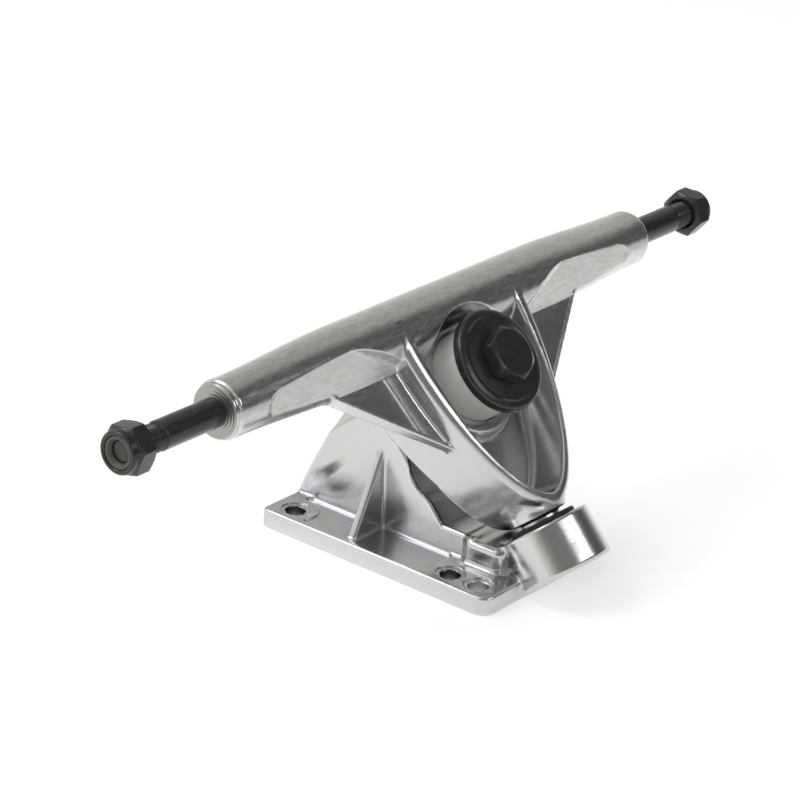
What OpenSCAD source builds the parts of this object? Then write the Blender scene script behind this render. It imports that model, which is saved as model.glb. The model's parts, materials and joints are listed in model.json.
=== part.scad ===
// Longboard truck: a cast hanger on a through axle rocks between two bushings
// on an angled kingpin, above a cast baseplate that bolts under the deck.
// The mounting face lies at Z = 0, X runs along the axle, and the pivot lies towards -Y.

/* [Steering geometry] */
// Angle of the pivot axis above the mounting face
pivot_angle = 50; // [48:0.5:52]
// Height of the axle above the mounting face
axle_height = 65.5; // [64:0.5:70]
// Distance of the axle behind the middle of the hole pattern
axle_setback = 3.3; // [1:0.1:6]
// Distance from the axle down the pivot axis to the kingpin
kingpin_offset = 18; // [17.6:0.1:19]
// Distance from the axle down the pivot axis to the pivot boss
boss_distance = 62.3; // [62:0.1:65]

/* [Plate] */
// Width of the plate along the axle
plate_width = 53.6; // [51:0.2:60]
// Length of the plate
plate_length = 78; // [75:0.5:84]
// Thickness of the plate
plate_thickness = 5.4; // [4.5:0.1:7]
// Corner radius at the pivot end
front_corner = 4; // [1:0.5:6]
// Corner radius at the kingpin end
rear_corner = 2; // [1:0.5:6]
// Hole spacing along the axle
hole_spacing_across = 41.3; // [40:0.1:42]
// Longer hole spacing, square to the axle
hole_spacing_long = 63.5; // [62:0.1:65]
// Shorter hole spacing, square to the axle
hole_spacing_short = 54; // [53:0.1:55]
// Diameter of the deck bolt holes
hole_diameter = 5.5; // [4.8:0.1:6.2]
// Diameter of the machined ring around each hole
spotface_diameter = 8; // [7:0.2:9]
// Depth of the machined ring
spotface_depth = 0.4; // [0.2:0.1:0.8]
// Depth of the cast recess beside the tower
recess_depth = 1; // [0.4:0.1:2]
// Width of the raised border beside the recess
recess_border = 2.2; // [1.4:0.1:3]

/* [Tower and pivot boss] */
// Width of the tower
tower_width = 22; // [21:0.2:22.6]
// Diameter of the round head that carries the kingpin
tower_head_diameter = 24.8; // [24.8:0.2:27]
// Rise of the tower's crest above the kingpin
crest_rise = 5; // [3:0.1:5]
// Depth of the tower behind the kingpin seat, along its crest
tower_back = 18.4; // [16:0.1:20]
// Height of the saddle between tower and pivot boss
saddle_height = 12.1; // [10:0.1:12.5]
// Height of the tower's shoulders above the kingpin seat
shoulder_height = 3; // [1.5:0.1:3.4]
// Diameter of the relief cut around the kingpin seat
seat_relief_diameter = 30; // [28:0.5:33]
// Thickness of metal between the kingpin seat and its nut
seat_thickness = 10; // [8:0.5:12]
// Width of the block under the pivot boss
boss_block_width = 26.6; // [25:0.2:28]
// Distance of that block's face from the middle of the hole pattern
boss_block_start = 21.5; // [20:0.5:24]
// Diameter of the pivot boss at its mouth
boss_top_diameter = 25; // [23:0.2:27]
// Diameter of the pivot boss at its foot
boss_foot_diameter = 26.2; // [24:0.2:29]
// Length of the pivot boss
boss_length = 14.3; // [14:0.1:17]
// Thickness of the side ribs
rib_thickness = 2.6; // [1.5:0.1:4]
// Reach of a rib's foot from the middle of the plate
rib_reach = 23.4; // [18:0.2:24.5]
// Height of a rib's peak on the tower
rib_height = 27; // [18:0.5:28]
// Distance of the ribs behind the middle of the hole pattern
rib_position = 10; // [8:0.5:13]

/* [Hanger] */
// Width of the hanger between the wheel faces
hanger_width = 180; // [165:1:200]
// Diameter of the beam at the wheel faces
beam_end_diameter = 15.8; // [14:0.2:18]
// Diameter of the beam in its middle
beam_mid_diameter = 19; // [18.2:0.2:20]
// Length of the beam's taper at each end
beam_taper = 42; // [25:1:44]
// Chamfer on the wheel faces
face_chamfer = 0.6; // [0.2:0.1:1.2]
// Half of the shield's width at the beam
shield_half_width = 25.6; // [25:0.1:28]
// Distance below the axle at which the shield is widest
shield_start = 2.8; // [1:0.1:4]
// Distance from the axle to the shield's tip
shield_reach = 57.8; // [56:0.1:58.5]
// Roundness of the shield's sides, where a lower value is rounder
shield_roundness = 0.72; // [0.6:0.02:0.9]
// Height of the shield's rim above the pivot axis
rim_height = 8; // [7:0.1:8.5]
// Depth of the shield below the pivot axis
shield_depth = 12; // [11.5:0.1:12.5]
// Thickness of the shield's wall
shield_wall = 2.4; // [1.8:0.1:3]
// Depth of the trough's floor below the pivot axis
trough_depth = 3; // [1:0.1:5]
// Distance before the tip at which the shield's underside starts to rise
keel_length = 12; // [8:0.5:16]
// Rise of the underside at the tip
keel_rise = 4; // [2:0.1:5]
// Diameter of the ring that carries the bushings
ring_diameter = 33; // [31:0.5:35]
// Height of the road side seat's lip above the pivot axis
lip_height = 0.5; // [0:0.1:1]
// Depth of the road side seat below the lip
road_seat_depth = 4.5; // [3.5:0.1:5]
// Thickness of the web between the two bushings
web_thickness = 6.5; // [6:0.1:7]
// Diameter of the clearance hole for the kingpin
web_hole_diameter = 17.6; // [17:0.1:18.5]
// Diameter of the beam's relief around the washer, at the rim
relief_diameter = 38.5; // [37.5:0.5:40]
// Reach of the wings along the beam
wing_reach = 51.5; // [44:0.5:54]
// Reach of the wings down the shield
wing_drop = 32.5; // [26:0.5:36]
// Spread of the wings from the shield at their lower end
wing_spread = 3; // [1:0.1:5]
// Height of the wings' top face above the pivot axis
wing_height = 3; // [1:0.1:4]
// Thickness of the wings
wing_thickness = 4; // [3:0.1:6]
// Depth of the panel in each wing
panel_depth = 1.2; // [0.5:0.1:2]
// Width of the border around that panel
panel_border = 2; // [1.2:0.1:2.6]
// Length of the flat scoop on each side of the beam
scoop_length = 42; // [25:1:46]
// Width of the tool that cuts that scoop
scoop_width = 9.5; // [7:0.5:11]
// Depth of that scoop
scoop_depth = 1.1; // [0.6:0.1:1.6]
// Distance of the scoop from the wheel face
scoop_start = 12; // [9:0.5:20]
// Angle of the scoop's face from the kingpin's direction
scoop_angle = 38; // [30:1:45]
// Diameter of the shield's bow, where the neck's cone begins
bow_diameter = 25; // [22:0.5:26]
// Length of that cone
bow_length = 18; // [14:0.5:20]
// Diameter of the neck above the pivot nose
neck_diameter = 16.6; // [15:0.2:18]

/* [Axle] */
// Diameter of the axle's wheel seats
axle_diameter = 7.94; // [7:0.01:8]
// Diameter of the two knurled bands that hold the axle in the hanger
knurl_diameter = 9; // [8.6:0.1:10]
// Length of each band, from the wheel face inwards
knurl_length = 30; // [20:1:40]
// Diameter of the axle's threads
thread_diameter = 7.4; // [6.4:0.1:7.5]
// Length of thread between a wheel seat and its nut
thread_shown = 5.8; // [3:0.1:8]
// Length of axle between the hanger and a nut
wheel_seat = 27.4; // [24:0.1:34]
// Length of axle inside a nut
axle_in_nut = 5.8; // [4:0.1:5.9]

/* [Axle nuts] */
// Width across the flats of an axle nut
axle_nut_flats = 12.2; // [12:0.1:14]
// Height of the nut's hexagon
axle_nut_height = 6; // [6:0.1:8]
// Diameter of the nut's collar
axle_collar_diameter = 11.4; // [11:0.1:11.8]
// Wall of that collar around the nylon ring
axle_collar_wall = 1.4; // [1:0.1:1.6]
// Height of that collar
axle_collar_height = 1.9; // [1.6:0.1:3]
// Width of the nylon ring, from its outside to its hole
axle_insert_width = 1.5; // [0.9:0.1:2]
// Turn of the left nut about the axle
left_nut_turn = 30; // [0:1:59]
// Turn of the right nut about the axle
right_nut_turn = 49; // [0:1:59]

/* [Kingpin] */
// Diameter of the kingpin
kingpin_diameter = 9.5; // [8:0.1:9.8]
// Width across the flats of the kingpin's head and nut
kingpin_flats = 14.3; // [13.6:0.1:15]
// Height of the kingpin's head
kingpin_head = 4.2; // [3.6:0.1:6]
// Turn of that head about the kingpin
kingpin_head_turn = 27; // [0:1:59]
// Height of the kingpin nut's hexagon
kingpin_nut_height = 6.4; // [5.5:0.1:8]
// Diameter of that nut's collar
kingpin_collar_diameter = 13.1; // [12.8:0.1:13.5]
// Wall of that collar around the nylon ring
kingpin_collar_wall = 0.8; // [0.5:0.1:1]
// Height of that collar
kingpin_collar_height = 2.2; // [1.6:0.1:3]

/* [Bushings and washers] */
// Diameter of the bushings
bushing_diameter = 25; // [24:0.1:25.4]
// Height of the road side bushing
road_bushing_height = 15; // [13:0.1:16]
// Height of the board side bushing
board_bushing_height = 13; // [12.8:0.1:14]
// Diameter of the road side cup washer
road_washer_diameter = 29; // [28:0.1:29.4]
// Thickness of the road side washer
road_washer_thickness = 2.2; // [1.8:0.1:3]
// Depth of the cup washer's rim over the bushing
cup_depth = 0.8; // [0.6:0.1:1.4]
// Diameter of the board side washer
board_washer_diameter = 23.6; // [21:0.1:24]
// Thickness of the board side washer
board_washer_thickness = 2; // [1.6:0.1:2.6]

/* [Pivot] */
// Diameter of the pivot cup in its boss
cup_diameter = 16.4; // [15:0.1:17.6]
// Depth of the pivot cup
pivot_cup_depth = 12; // [11:0.1:12.6]
// Diameter of the cup's flange
flange_diameter = 18.6; // [18.2:0.1:20]
// Thickness of the cup's flange
flange_thickness = 1.2; // [0.8:0.1:1.6]
// Diameter of the hanger's pivot nose
nose_diameter = 11.2; // [9:0.1:12]
// Length of nose inside the cup
nose_depth = 9.5; // [6:0.1:9.8]

/* [Clearances] */
// Radial clearance of a running fit
running_clearance = 0.05; // [0.02:0.01:0.1]
// Radial clearance around a piece that is cast or pressed in
press_clearance = 0.02; // [0.01:0.01:0.05]
// Gap between pieces of different bodies at their seats
seat_gap = 0.3; // [0.2:0.05:0.4]
// Radial clearance of loose holes and pockets
loose_clearance = 0.25; // [0.1:0.05:0.3]
// Gap between the hanger's neck and the pivot cup
neck_gap = 1.2; // [0.8:0.1:1.6]

/* [Hidden] */
$fn = 64;
// A length that reaches past any piece, for cuts
beyond = 300;
// An overlap that joins or cuts cleanly
bite = 1;

// Heights along the kingpin from the pivot axis, in the order they stack
road_seat = lip_height - road_seat_depth;
road_bushing_base = road_seat + seat_gap;
road_washer_base = road_bushing_base + road_bushing_height;
head_base = road_washer_base + road_washer_thickness;
board_seat = road_seat - web_thickness;
board_bushing_base = board_seat - seat_gap - board_bushing_height;
tower_seat = board_bushing_base - board_washer_thickness;
tower_shoulder = tower_seat + shoulder_height;
nut_seat = tower_seat - seat_thickness;
kingpin_end = nut_seat - kingpin_nut_height - kingpin_collar_height;
seat_diameter = bushing_diameter + 2 * seat_gap;

// Distances down the pivot axis from the axle
flange_top = boss_distance - flange_thickness;
neck_end = flange_top - neck_gap;
nose_end = boss_distance + nose_depth;
cup_end = boss_distance + pivot_cup_depth;
shield_length = shield_reach - shield_start;

// Sizes along the axle
half_hanger = hanger_width / 2;
nut_face = half_hanger + wheel_seat;
axle_end = nut_face + axle_in_nut;
seat_end = nut_face - thread_shown;
axle_insert_diameter = axle_collar_diameter - 2 * axle_collar_wall;
kingpin_insert_diameter = kingpin_collar_diameter - 2 * kingpin_collar_wall;
beam_slope = (beam_mid_diameter - beam_end_diameter) / 2 / beam_taper;

// Rows of deck bolt holes, along Y
hole_rows = [hole_spacing_long / 2, hole_spacing_long / 2 - hole_spacing_short, -hole_spacing_long / 2];

// Place in the side view, as [y, z], of a point along the pivot axis and off it
function side(along, off) = [
    axle_setback + along * cos(pivot_angle) - off * sin(pivot_angle),
    axle_height + along * sin(pivot_angle) + off * cos(pivot_angle)];
// Place along the pivot axis at which a line parallel to it reaches a level
function along_at(level, off) = (level - axle_height - off * cos(pivot_angle)) / sin(pivot_angle);
function corner_diameter(flats) = flats / cos(30);
// Arc of a quarter turn, from one heading to the next
function quarter(centre, radius, heading) =
    [for (step = [0:6]) centre + radius * [cos(heading + 15 * step), sin(heading + 15 * step)]];
// Share of the shield's full width at a share of its length
function shield_share(share) = pow(1 - share * share, shield_roundness);
function shield_side(half, length) =
    [for (step = [0:24]) let (share = sin(step * 90 / 24)) [half * shield_share(share), -shield_start - length * share]];
// Outline of the shield, open towards the beam
function shield_outline(half, length) = let (right = shield_side(half, length)) concat(
    [[half, 0]], right, [for (step = [len(right) - 2:-1:0]) [-right[step][0], right[step][1]]], [[-half, 0]]);
// Triangle moved in from its sides by a border
function inset(corners, border) = let (
    a = norm(corners[1] - corners[2]),
    b = norm(corners[2] - corners[0]),
    c = norm(corners[0] - corners[1]),
    centre = (a * corners[0] + b * corners[1] + c * corners[2]) / (a + b + c),
    area = abs(cross(corners[1] - corners[0], corners[2] - corners[0])) / 2,
    inner_radius = 2 * area / (a + b + c))
    [for (corner = corners) centre + (corner - centre) * (1 - border / inner_radius)];

// Frame at the axle: Y up the pivot axis, Z out along the kingpin
module axle_frame() translate([0, axle_setback, axle_height]) rotate([pivot_angle, 0, 0]) children();
// Frame on the kingpin, level with the pivot axis
module kingpin_frame() axle_frame() translate([0, -kingpin_offset, 0]) children();
// Frame with Z down the pivot axis
module pivot_frame() axle_frame() rotate([90, 0, 0]) children();
// Frame with Z along the axle, towards the wheel at +X or -X
module wheel_frame(towards) axle_frame() rotate([0, 90 * towards, 0]) children();

// Side outline, given as [y, z], stretched across the truck
module across(width, outline)
    rotate([90, 0, 90]) translate([0, 0, -width / 2]) linear_extrude(width) polygon(outline);

// Hexagon with its chosen ends chamfered down to its flats
module hexagon(flats, height, foot_chamfered) {
    corner = corner_diameter(flats) / 2;
    chamfer = corner - flats / 2;
    foot_chamfer = foot_chamfered ? chamfer : 0;
    intersection() {
        cylinder(d = 2 * corner, h = height, $fn = 6);
        rotate_extrude() polygon([[0, 0], [corner - foot_chamfer, 0], [corner, foot_chamfer / 2],
            [corner, height - chamfer / 2], [corner - chamfer, height], [0, height]]);
    }
}

// Lock nut standing on its face, with a bore and room for its nylon ring
module lock_nut(flats, height, collar, collar_height, ring, bore) difference() {
    edge = (collar - ring) / 4;
    union() {
        hexagon(flats, height, true);
        cylinder(d = collar, h = height + collar_height - edge);
        translate([0, 0, height + collar_height - edge])
            cylinder(d1 = collar, d2 = collar - 2 * edge, h = edge);
    }
    translate([0, 0, -bite]) cylinder(d = bore, h = height + 2 * bite);
    translate([0, 0, height]) cylinder(d = ring, h = collar_height + bite);
}

module tube(outside, hole, height) difference() {
    cylinder(d = outside, h = height);
    translate([0, 0, -bite]) cylinder(d = hole, h = height + 2 * bite);
}

// Flat plate with the shallow cast recesses beside the tower
module plate() {
    half_width = plate_width / 2;
    half_length = plate_length / 2;
    recess_inner = tower_width / 2;
    recess_width = half_width - recess_border - recess_inner;
    recess_rear = hole_rows[0] - spotface_diameter / 2 - recess_border;
    recess_front = hole_rows[1] + spotface_diameter / 2 + recess_border;
    difference() {
        linear_extrude(plate_thickness) polygon(concat(
            quarter([half_width - rear_corner, half_length - rear_corner], rear_corner, 0),
            quarter([rear_corner - half_width, half_length - rear_corner], rear_corner, 90),
            quarter([front_corner - half_width, front_corner - half_length], front_corner, 180),
            quarter([half_width - front_corner, front_corner - half_length], front_corner, 270)));
        for (x = [recess_inner, -recess_inner - recess_width])
            translate([x, recess_front, plate_thickness - recess_depth])
                cube([recess_width, recess_rear - recess_front, recess_depth + bite]);
    }
}

// Tower that slopes up from the plate's rear edge, and the saddle in front of it
module tower() {
    crest = crest_rise - kingpin_offset;
    rear_foot = [plate_length / 2, plate_thickness];
    rear_crest = side(crest, tower_seat - tower_back);
    rear_rise = rear_crest - rear_foot;
    across(tower_width, [[plate_length / 2, 0], rear_foot, rear_crest,
        side(crest, tower_shoulder),
        side(along_at(saddle_height, tower_shoulder), tower_shoulder),
        [-boss_block_start - bite, saddle_height],
        [-boss_block_start - bite, 0]]);
    intersection() {
        kingpin_frame() translate([0, 0, tower_seat - beyond / 2])
            cylinder(d = tower_head_diameter, h = beyond / 2 + shoulder_height);
        across(tower_head_diameter + bite, [[0, 0], [plate_length / 2, 0], rear_foot,
            rear_foot + 2 * rear_rise, [0, rear_foot[1] + 2 * rear_rise[1]]]);
    }
}

// Boss that holds the pivot cup, and the block that ties it to the saddle
module boss() {
    pivot_frame() translate([0, 0, boss_distance])
        cylinder(d1 = boss_top_diameter, d2 = boss_foot_diameter, h = boss_length);
    boss_mouth = side(-boss_distance, 0);
    translate([-boss_block_width / 2, boss_mouth[0], 0])
        cube([boss_block_width, -boss_block_start - boss_mouth[0], saddle_height]);
}

module ribs() for (towards = [-1, 1])
    translate([0, rib_position + rib_thickness / 2, 0]) rotate([90, 0, 0])
        linear_extrude(rib_thickness) polygon([[0, 0], [towards * rib_reach, 0],
            [towards * rib_reach, plate_thickness],
            [towards * tower_width / 2, rib_height], [0, rib_height]]);

module baseplate() color("silver") difference() {
    union() {
        plate();
        tower();
        boss();
        ribs();
    }
    translate([-beyond / 2, -beyond / 2, -beyond]) cube(beyond);
    for (x = [-1, 1], y = hole_rows) translate([x * hole_spacing_across / 2, y, 0]) {
        translate([0, 0, -bite]) cylinder(d = hole_diameter, h = plate_thickness + 2 * bite);
        translate([0, 0, plate_thickness - spotface_depth]) cylinder(d = spotface_diameter, h = bite);
    }
    kingpin_frame() {
        translate([0, 0, tower_seat]) cylinder(d = seat_relief_diameter, h = beyond);
        translate([0, 0, nut_seat - bite])
            cylinder(d = kingpin_diameter + 2 * loose_clearance, h = seat_thickness + 2 * bite);
    }
    intersection() {
        kingpin_frame() translate([0, 0, nut_seat - beyond])
            cylinder(d = corner_diameter(kingpin_flats + 2 * loose_clearance), h = beyond, $fn = 6);
        translate([-beyond / 2, -beyond / 2, plate_thickness + bite]) cube(beyond);
    }
    pivot_frame() {
        translate([0, 0, boss_distance - bite])
            cylinder(d = cup_diameter + 2 * press_clearance, h = pivot_cup_depth + bite);
        translate([0, 0, boss_distance - beyond])
            cylinder(d = flange_diameter + 2 * loose_clearance, h = beyond);
    }
}

// Cup with a flange that rests on the boss and a bore for the hanger's nose
module pivot_cup() color([0.07, 0.07, 0.07]) pivot_frame() difference() {
    union() {
        translate([0, 0, flange_top]) cylinder(d = flange_diameter, h = flange_thickness);
        translate([0, 0, boss_distance - bite]) cylinder(d = cup_diameter, h = pivot_cup_depth + bite);
    }
    translate([0, 0, flange_top - bite])
        cylinder(d = nose_diameter + 2 * running_clearance, h = nose_end + seat_gap + bite - flange_top);
}

// Round beam that tapers to the wheel faces, with a flat scoop on each side
module beam() difference() {
    middle = beam_mid_diameter / 2;
    end = beam_end_diameter / 2;
    wheel_frame(1) rotate_extrude() polygon([[0, -half_hanger], [end - face_chamfer, -half_hanger],
        [end, face_chamfer - half_hanger], [middle, beam_taper - half_hanger],
        [middle, half_hanger - beam_taper], [end, half_hanger - face_chamfer],
        [end - face_chamfer, half_hanger], [0, half_hanger]]);
    axle_frame() rotate([scoop_angle, 0, 0]) for (flip = [0, 1]) mirror([flip, 0, 0])
        translate([half_hanger - scoop_start, -scoop_width / 2, end + beam_slope * scoop_start - scoop_depth])
            rotate([0, atan(beam_slope), 0]) translate([-scoop_length, 0, 0])
                cube([scoop_length, scoop_width, beyond]);
}

// Shield that hangs from the beam, with its trough, and the bow and nose at its lower end
module shield() axle_frame() difference() {
    intersection() {
        union() {
            difference() {
                translate([0, 0, -shield_depth]) linear_extrude(shield_depth + rim_height)
                    polygon(shield_outline(shield_half_width, shield_length));
                translate([0, keel_length - shield_reach, -shield_depth])
                    rotate([-atan(keel_rise / keel_length), 0, 0])
                        translate([-beyond / 2, -beyond, -beyond]) cube(beyond);
            }
            rotate([90, 0, 0]) translate([0, 0, neck_end - bow_length])
                cylinder(d1 = bow_diameter, d2 = neck_diameter, h = bow_length);
        }
        translate([-beyond / 2, -beyond / 2, rim_height - beyond]) cube(beyond);
    }
    difference() {
        translate([0, 0, -trough_depth]) linear_extrude(beyond)
            polygon(shield_outline(shield_half_width - shield_wall, shield_length - shield_wall));
        translate([0, -kingpin_offset, -beyond]) cylinder(d = ring_diameter, h = beyond + lip_height);
    }
}

module nose() pivot_frame() translate([0, 0, neck_end - bite]) {
    tip = nose_diameter / 4;
    length = nose_end - neck_end + bite;
    cylinder(d = nose_diameter, h = length - tip);
    translate([0, 0, length - tip]) cylinder(d1 = nose_diameter, d2 = nose_diameter - 2 * tip, h = tip);
}

// Triangular wings that brace the shield against the beam
module wings() axle_frame() for (flip = [0, 1]) mirror([flip, 0, 0]) {
    wall = shield_half_width * shield_share((wing_drop - shield_start) / shield_length);
    outer = [wing_reach, -beam_mid_diameter / 2 + bite / 2];
    lower = [wall + wing_spread, -wing_drop];
    upper = [shield_half_width, -beam_mid_diameter / 2 + bite / 2];
    root = wall - shield_wall / 2;
    difference() {
        translate([0, 0, wing_height - wing_thickness]) linear_extrude(wing_thickness)
            polygon([outer, lower, [root, -wing_drop], [root, 0], [wing_reach - beam_mid_diameter / 2, 0]]);
        translate([0, 0, wing_height - panel_depth]) linear_extrude(beyond)
            polygon(inset([outer, lower, upper], panel_border));
    }
}

module hanger() color("silver") difference() {
    union() {
        beam();
        shield();
        wings();
        nose();
        kingpin_frame() translate([0, 0, -shield_depth])
            cylinder(d = ring_diameter, h = shield_depth + lip_height);
    }
    wheel_frame(1) {
        cylinder(d = axle_diameter + 2 * press_clearance, h = beyond, center = true);
        knurls(press_clearance, bite);
    }
    kingpin_frame() {
        translate([0, 0, lip_height]) cylinder(d1 = seat_diameter,
            d2 = relief_diameter, h = rim_height - lip_height);
        translate([0, 0, rim_height]) cylinder(d = relief_diameter, h = beam_mid_diameter);
        translate([0, 0, road_seat]) cylinder(d = seat_diameter, h = road_seat_depth + bite);
        translate([0, 0, -beyond]) cylinder(d = web_hole_diameter, h = beyond);
        translate([0, 0, board_seat - beyond]) cylinder(d = seat_diameter, h = beyond);
    }
}

// Knurled bands of the axle, with a spare width around them and a length past the wheel faces
module knurls(spare, past) for (flip = [0, 1]) mirror([0, 0, flip])
    translate([0, 0, half_hanger - knurl_length - spare])
        cylinder(d = knurl_diameter + 2 * spare, h = knurl_length + spare + past);

// Bar right through the hanger: knurled inside it, then a plain wheel seat and a thread at each end
module axle() color([0.09, 0.09, 0.1]) wheel_frame(1) {
    knurls(0, 0);
    cylinder(d = axle_diameter, h = 2 * seat_end, center = true);
    cylinder(d = thread_diameter, h = 2 * axle_end, center = true);
}

module axle_nut(towards, turn) color([0.09, 0.09, 0.1]) wheel_frame(towards)
    translate([0, 0, nut_face]) rotate(turn) lock_nut(axle_nut_flats, axle_nut_height,
        axle_collar_diameter, axle_collar_height,
        axle_insert_diameter, thread_diameter + 2 * running_clearance);

module axle_nut_insert(towards) color([0.42, 0.43, 0.38]) wheel_frame(towards)
    translate([0, 0, nut_face + axle_nut_height])
        tube(axle_insert_diameter - 2 * press_clearance,
            axle_insert_diameter - 2 * axle_insert_width, axle_collar_height);

module axle_nut_left() axle_nut(-1, left_nut_turn);
module axle_nut_right() axle_nut(1, right_nut_turn);
module axle_nut_insert_left() axle_nut_insert(-1);
module axle_nut_insert_right() axle_nut_insert(1);

module kingpin_bolt() color([0.09, 0.09, 0.1]) kingpin_frame() {
    translate([0, 0, head_base]) rotate(kingpin_head_turn) hexagon(kingpin_flats, kingpin_head, false);
    translate([0, 0, kingpin_end]) cylinder(d = kingpin_diameter, h = head_base - kingpin_end + bite);
}

module kingpin_nut() color([0.09, 0.09, 0.1]) kingpin_frame() translate([0, 0, nut_seat]) mirror([0, 0, 1])
    lock_nut(kingpin_flats, kingpin_nut_height, kingpin_collar_diameter, kingpin_collar_height,
        kingpin_insert_diameter, kingpin_diameter + 2 * running_clearance);

module kingpin_nut_insert() color([0.42, 0.43, 0.38]) kingpin_frame() translate([0, 0, kingpin_end])
    tube(kingpin_insert_diameter - 2 * press_clearance,
        kingpin_diameter + 2 * press_clearance, kingpin_collar_height);

module bushing(height) color("whitesmoke") tube(bushing_diameter, kingpin_diameter + 2 * loose_clearance, height);

module road_bushing() kingpin_frame() translate([0, 0, road_bushing_base]) bushing(road_bushing_height);

module board_bushing() kingpin_frame() translate([0, 0, board_bushing_base]) bushing(board_bushing_height);

// Cup washer: a flat disc with a rounded shoulder and a rim turned down over the bushing
module road_washer() color([0.09, 0.09, 0.1]) kingpin_frame() translate([0, 0, road_washer_base]) {
    outside = road_washer_diameter / 2;
    inside = bushing_diameter / 2 + loose_clearance;
    shoulder = road_washer_thickness / 2;
    rotate_extrude() polygon([[kingpin_diameter / 2 + loose_clearance, 0], [inside, 0],
        [inside, -cup_depth], [outside, -cup_depth], [outside, road_washer_thickness - shoulder],
        [outside - shoulder, road_washer_thickness],
        [kingpin_diameter / 2 + loose_clearance, road_washer_thickness]]);
}

module board_washer() color([0.09, 0.09, 0.1]) kingpin_frame() translate([0, 0, tower_seat])
    tube(board_washer_diameter, kingpin_diameter + 2 * loose_clearance, board_washer_thickness);

baseplate();
pivot_cup();
hanger();
axle();
axle_nut_left();
axle_nut_right();
axle_nut_insert_left();
axle_nut_insert_right();
kingpin_bolt();
kingpin_nut();
kingpin_nut_insert();
road_bushing();
road_washer();
board_bushing();
board_washer();
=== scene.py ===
# Reverse-kingpin longboard truck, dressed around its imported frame.
import json
import math

import bpy
import numpy as np
from mathutils import Matrix, Vector


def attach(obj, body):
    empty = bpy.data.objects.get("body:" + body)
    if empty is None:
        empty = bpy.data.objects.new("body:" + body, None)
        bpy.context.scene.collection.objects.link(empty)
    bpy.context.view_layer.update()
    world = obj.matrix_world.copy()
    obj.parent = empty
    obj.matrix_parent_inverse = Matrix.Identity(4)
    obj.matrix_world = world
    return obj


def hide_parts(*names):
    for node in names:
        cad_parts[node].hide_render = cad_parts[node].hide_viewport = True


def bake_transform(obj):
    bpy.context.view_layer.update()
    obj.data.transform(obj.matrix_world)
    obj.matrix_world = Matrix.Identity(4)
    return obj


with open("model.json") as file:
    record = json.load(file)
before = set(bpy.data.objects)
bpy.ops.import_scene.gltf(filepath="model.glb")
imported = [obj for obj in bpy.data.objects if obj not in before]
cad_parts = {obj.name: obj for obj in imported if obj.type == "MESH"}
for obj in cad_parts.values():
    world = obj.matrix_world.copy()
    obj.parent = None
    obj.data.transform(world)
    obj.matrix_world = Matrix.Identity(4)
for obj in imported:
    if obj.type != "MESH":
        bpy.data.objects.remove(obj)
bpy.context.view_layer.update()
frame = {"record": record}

# Baseplate
# One aluminium casting that bolts under the deck: plate, sloping tower, pivot boss and side ribs.
# Cast, tumbled and polished, so that its faces run softly into each other. Sizes are millimetres.
MM = 0.001
steer = next(joint for joint in frame["record"]["behaviour"]["joints"] if joint["name"] == "steer")
axle_middle = np.array(steer["pos_m"]) / MM
pivot_up = np.array(steer["axis"])
kingpin_out = np.array([0, -pivot_up[2], pivot_up[1]])
kingpin_offset = 18.0


def at_axle(u, v, k):
    """Places in metres of points along the axle, up the pivot axis and out along the kingpin."""
    u, v, k = np.broadcast_arrays(u, v, k)
    across = np.array([1.0, 0.0, 0.0])
    return (axle_middle + u[..., None] * across + v[..., None] * pivot_up + k[..., None] * kingpin_out) * MM


def from_axle(y, z):
    """Distances up the pivot axis and out along the kingpin of points in the truck's side view."""
    dy = y - axle_middle[1]
    dz = z - axle_middle[2]
    return dy * pivot_up[1] + dz * pivot_up[2], dy * kingpin_out[1] + dz * kingpin_out[2]


def side(v, k):
    """Place in the side view of a point up the pivot axis and out along the kingpin."""
    return axle_middle[1:] + v * pivot_up[1:] + k * kingpin_out[1:]


def join(a, b, radius):
    """Distance to two solids joined by a fillet."""
    fillet = np.hypot(np.maximum(radius - a, 0), np.maximum(radius - b, 0))
    return np.maximum(radius, np.minimum(a, b)) - fillet


def trim(a, b, radius):
    """Distance to what two solids share, with a rounded edge. A minus before the second one cuts it away."""
    edge = np.hypot(np.maximum(radius + a, 0), np.maximum(radius + b, 0))
    return np.minimum(-radius, np.maximum(a, b)) + edge


def outline(corners, a, b):
    """Distance to a closed outline, negative inside it."""
    nearest = np.full(np.shape(a), np.inf)
    inside = np.zeros(np.shape(a), bool)
    for (a0, b0), (a1, b1) in zip(corners, corners[1:] + corners[:1]):
        run = np.array([a1 - a0, b1 - b0])
        share = np.clip(((a - a0) * run[0] + (b - b0) * run[1]) / (run @ run), 0, 1)
        nearest = np.minimum(nearest, np.hypot(a - a0 - share * run[0], b - b0 - share * run[1]))
        crosses = (b0 > b) != (b1 > b)
        if b1 != b0:
            inside ^= crosses & (a < a0 + (b - b0) * run[0] / run[1])
    return np.where(inside, -nearest, nearest)


def slope(distance, points, reach=0.03):
    """Distance and its direction at points."""
    here = distance(*points.T)
    ways = np.zeros_like(points)
    for axis in range(3):
        shift = np.zeros(3)
        shift[axis] = reach
        ways[:, axis] = distance(*(points + shift).T) - distance(*(points - shift).T)
    return here, ways / np.maximum(np.linalg.norm(ways, axis=1, keepdims=True), 1e-9)


def settle(distance, points, rounds=4, longest_step=0.4):
    """Points pulled onto the surface."""
    for _ in range(rounds):
        here, ways = slope(distance, points)
        points = points - np.clip(here, -longest_step, longest_step)[:, None] * ways
    return points


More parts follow.
